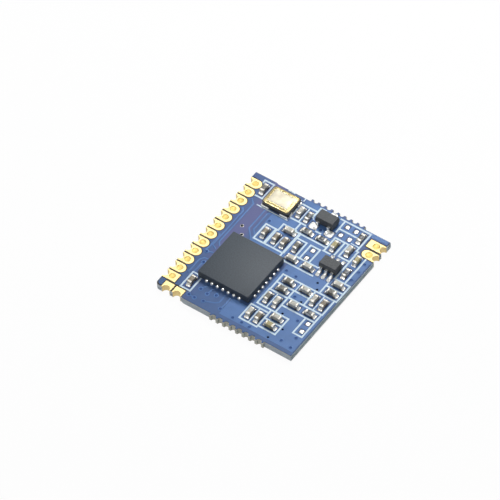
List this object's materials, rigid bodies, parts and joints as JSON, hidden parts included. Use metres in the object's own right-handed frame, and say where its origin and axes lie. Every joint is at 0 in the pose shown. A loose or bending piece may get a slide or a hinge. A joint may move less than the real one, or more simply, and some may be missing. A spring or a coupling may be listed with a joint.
{
  "type": "radio module",
  "caption": "Small blue circuit board with half-hole solder pads on its edges, a square radio chip, a crystal and chip parts.",
  "frame": {"origin": "middle of the board's outline, on the underside that rests on the host board", "axes": "+X from the edge with twelve pads to the edge with the two aerial pads, +Y along the row of twelve pads from pad one to pad twelve, +Z out of the side that carries the parts"},
  "size_m": [0.0162, 0.0174, 0.0018],
  "materials": {
    "glass_laminate": "matt routed edge",
    "blue_solder_mask": "satin",
    "white_legend_ink": "satin",
    "gold_plated_copper": "matt gold",
    "tin_solder": "bright",
    "tinned_copper": "bright",
    "moulded_epoxy": "satin",
    "black_ceramic": "matt",
    "gold_plated_alloy": "satin",
    "nickel_plated_alloy": "satin",
    "brown_ceramic": "matt",
    "beige_ceramic": "matt",
    "ochre_ceramic": "matt",
    "grey_ceramic": "matt",
    "resistor_glaze": "gloss"
  },
  "bodies": {
    "root": {"board_laminate": "glass_laminate", "solder_mask_top": "blue_solder_mask", "solder_mask_bottom": "blue_solder_mask", "legend_print": "white_legend_ink", "pin_one_pad": "gold_plated_copper", "edge_pads": "gold_plated_copper", "corner_pads": "gold_plated_copper", "antenna_pad": "gold_plated_copper", "antenna_ground_pad": "gold_plated_copper", "spare_lands": "tin_solder", "chip_lands": "tin_solder", "solder_fillets": "tin_solder", "crystal_solder": "tin_solder", "radio_chip_body": "moulded_epoxy", "radio_chip_leads": "tinned_copper", "crystal_base": "black_ceramic", "crystal_ring": "gold_plated_alloy", "crystal_lid": "nickel_plated_alloy", "transistor_body": "moulded_epoxy", "transistor_leads": "tinned_copper", "switch_chip_body": "moulded_epoxy", "switch_chip_leads": "tinned_copper", "capacitor_01": "brown_ceramic", "capacitor_02": "beige_ceramic", "capacitor_03": "brown_ceramic", "capacitor_04": "beige_ceramic", "capacitor_05": "ochre_ceramic", "capacitor_06": "grey_ceramic", "capacitor_07": "beige_ceramic", "capacitor_08": "grey_ceramic", "capacitor_09": "grey_ceramic", "capacitor_10": "beige_ceramic", "capacitor_11": "beige_ceramic", "capacitor_12": "brown_ceramic", "capacitor_13": "beige_ceramic", "capacitor_14": "grey_ceramic", "capacitor_15": "beige_ceramic", "capacitor_16": "ochre_ceramic", "capacitor_17": "beige_ceramic", "capacitor_18": "ochre_ceramic", "capacitor_19": "grey_ceramic", "capacitor_20": "beige_ceramic", "capacitor_21": "beige_ceramic", "capacitor_22": "brown_ceramic", "capacitor_23": "brown_ceramic", "capacitor_24": "brown_ceramic", "capacitor_25": "beige_ceramic", "capacitor_26": "beige_ceramic", "capacitor_27": "grey_ceramic", "resistor_01": "resistor_glaze", "resistor_02": "resistor_glaze", "resistor_03": "resistor_glaze", "resistor_04": "resistor_glaze", "resistor_05": "resistor_glaze", "resistor_06": "resistor_glaze"}
  },
  "joints": []
}
